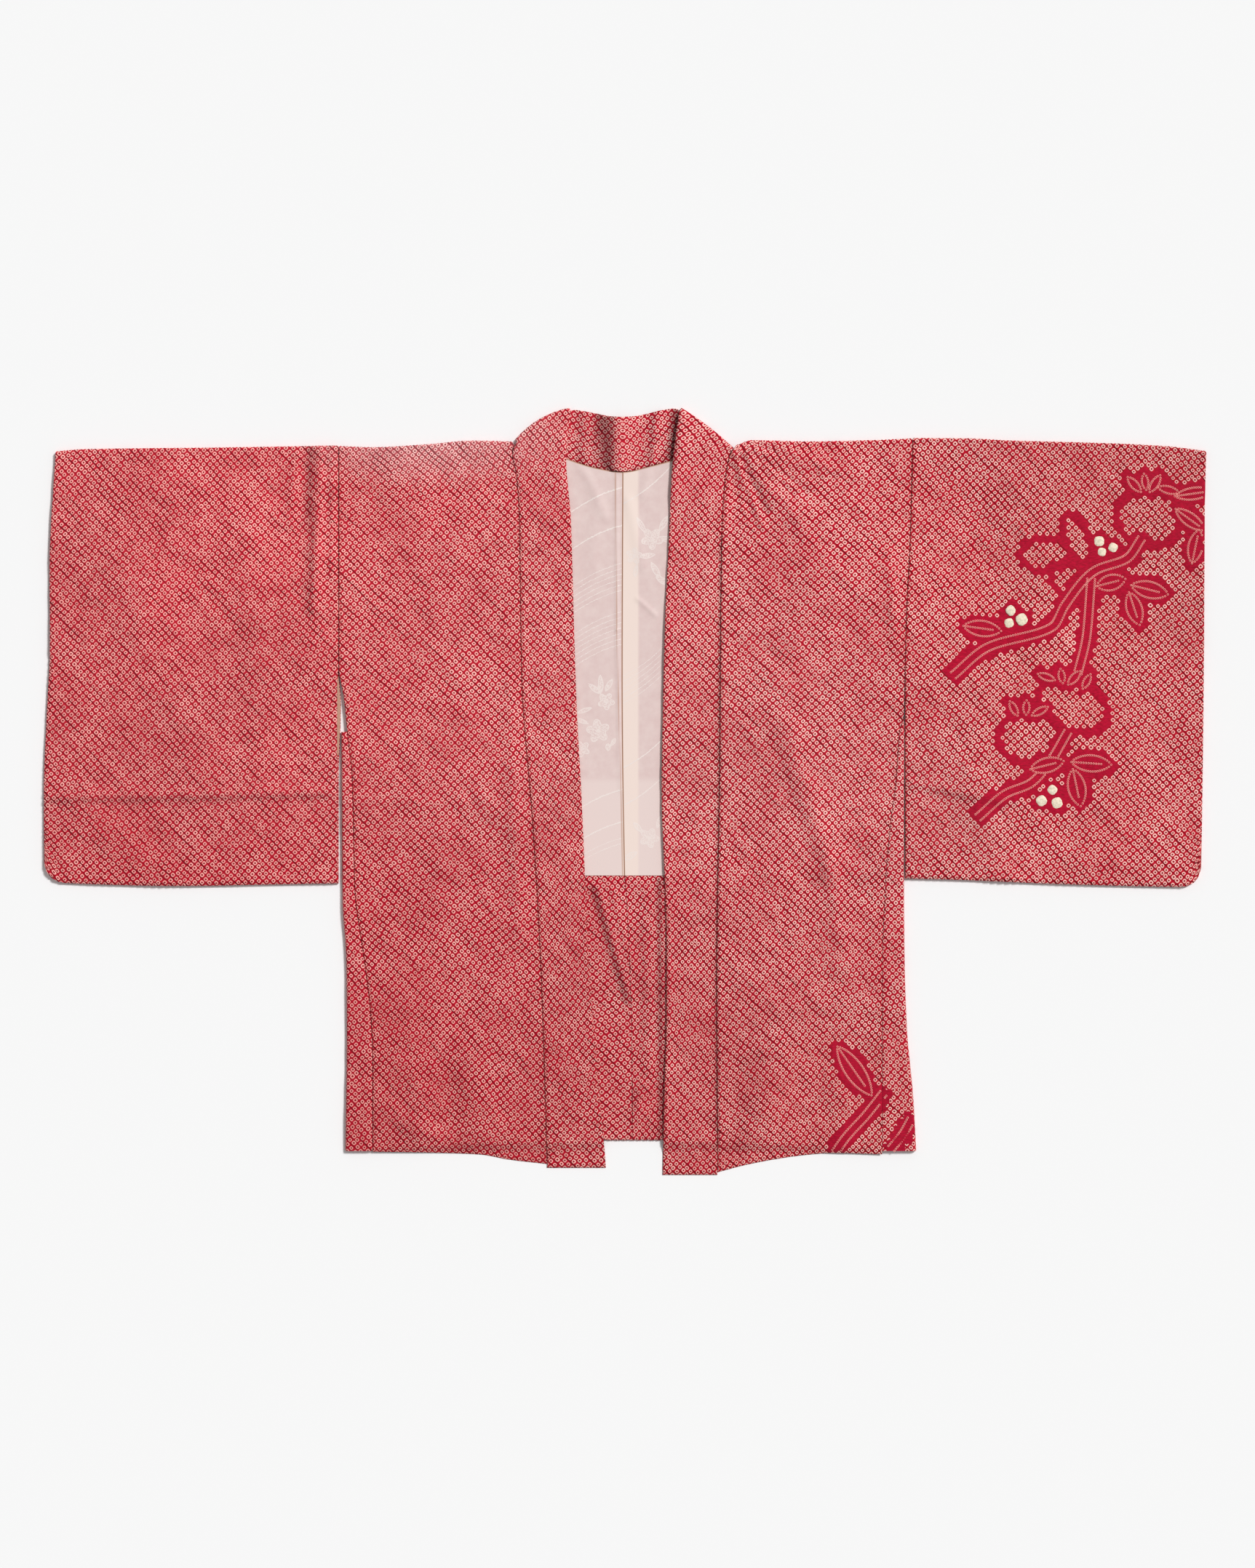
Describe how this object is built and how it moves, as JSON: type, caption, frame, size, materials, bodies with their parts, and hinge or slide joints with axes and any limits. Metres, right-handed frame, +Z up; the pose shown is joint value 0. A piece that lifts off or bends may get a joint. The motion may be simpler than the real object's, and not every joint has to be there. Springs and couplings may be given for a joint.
{
  "type": "haori",
  "caption": "Hip-length lined jacket with straight hanging sleeves, laid out flat with its front open over a pale back lining.",
  "frame": {"origin": "on the surface it lies on, under the middle of the laid-out garment's box", "axes": "+X across the sleeves towards the wearer's left sleeve, +Y from hem to collar, +Z up from the surface"},
  "size_m": [1.2928, 0.8538, 0.0105],
  "materials": {
    "kanoko_crepe": "matte tie-dyed silk crepe, crimson with small pale square rings",
    "lining_damask": "soft satin-figured silk, very pale pink"
  },
  "bodies": {
    "root": {"body_right": "kanoko_crepe", "body_left": "kanoko_crepe", "gusset_right": "kanoko_crepe", "gusset_left": "kanoko_crepe", "sleeve_right": "kanoko_crepe", "sleeve_left": "kanoko_crepe", "collar": "kanoko_crepe", "lining_right": "lining_damask", "lining_left": "lining_damask", "sleeve_lining_right": "lining_damask"}
  },
  "joints": []
}
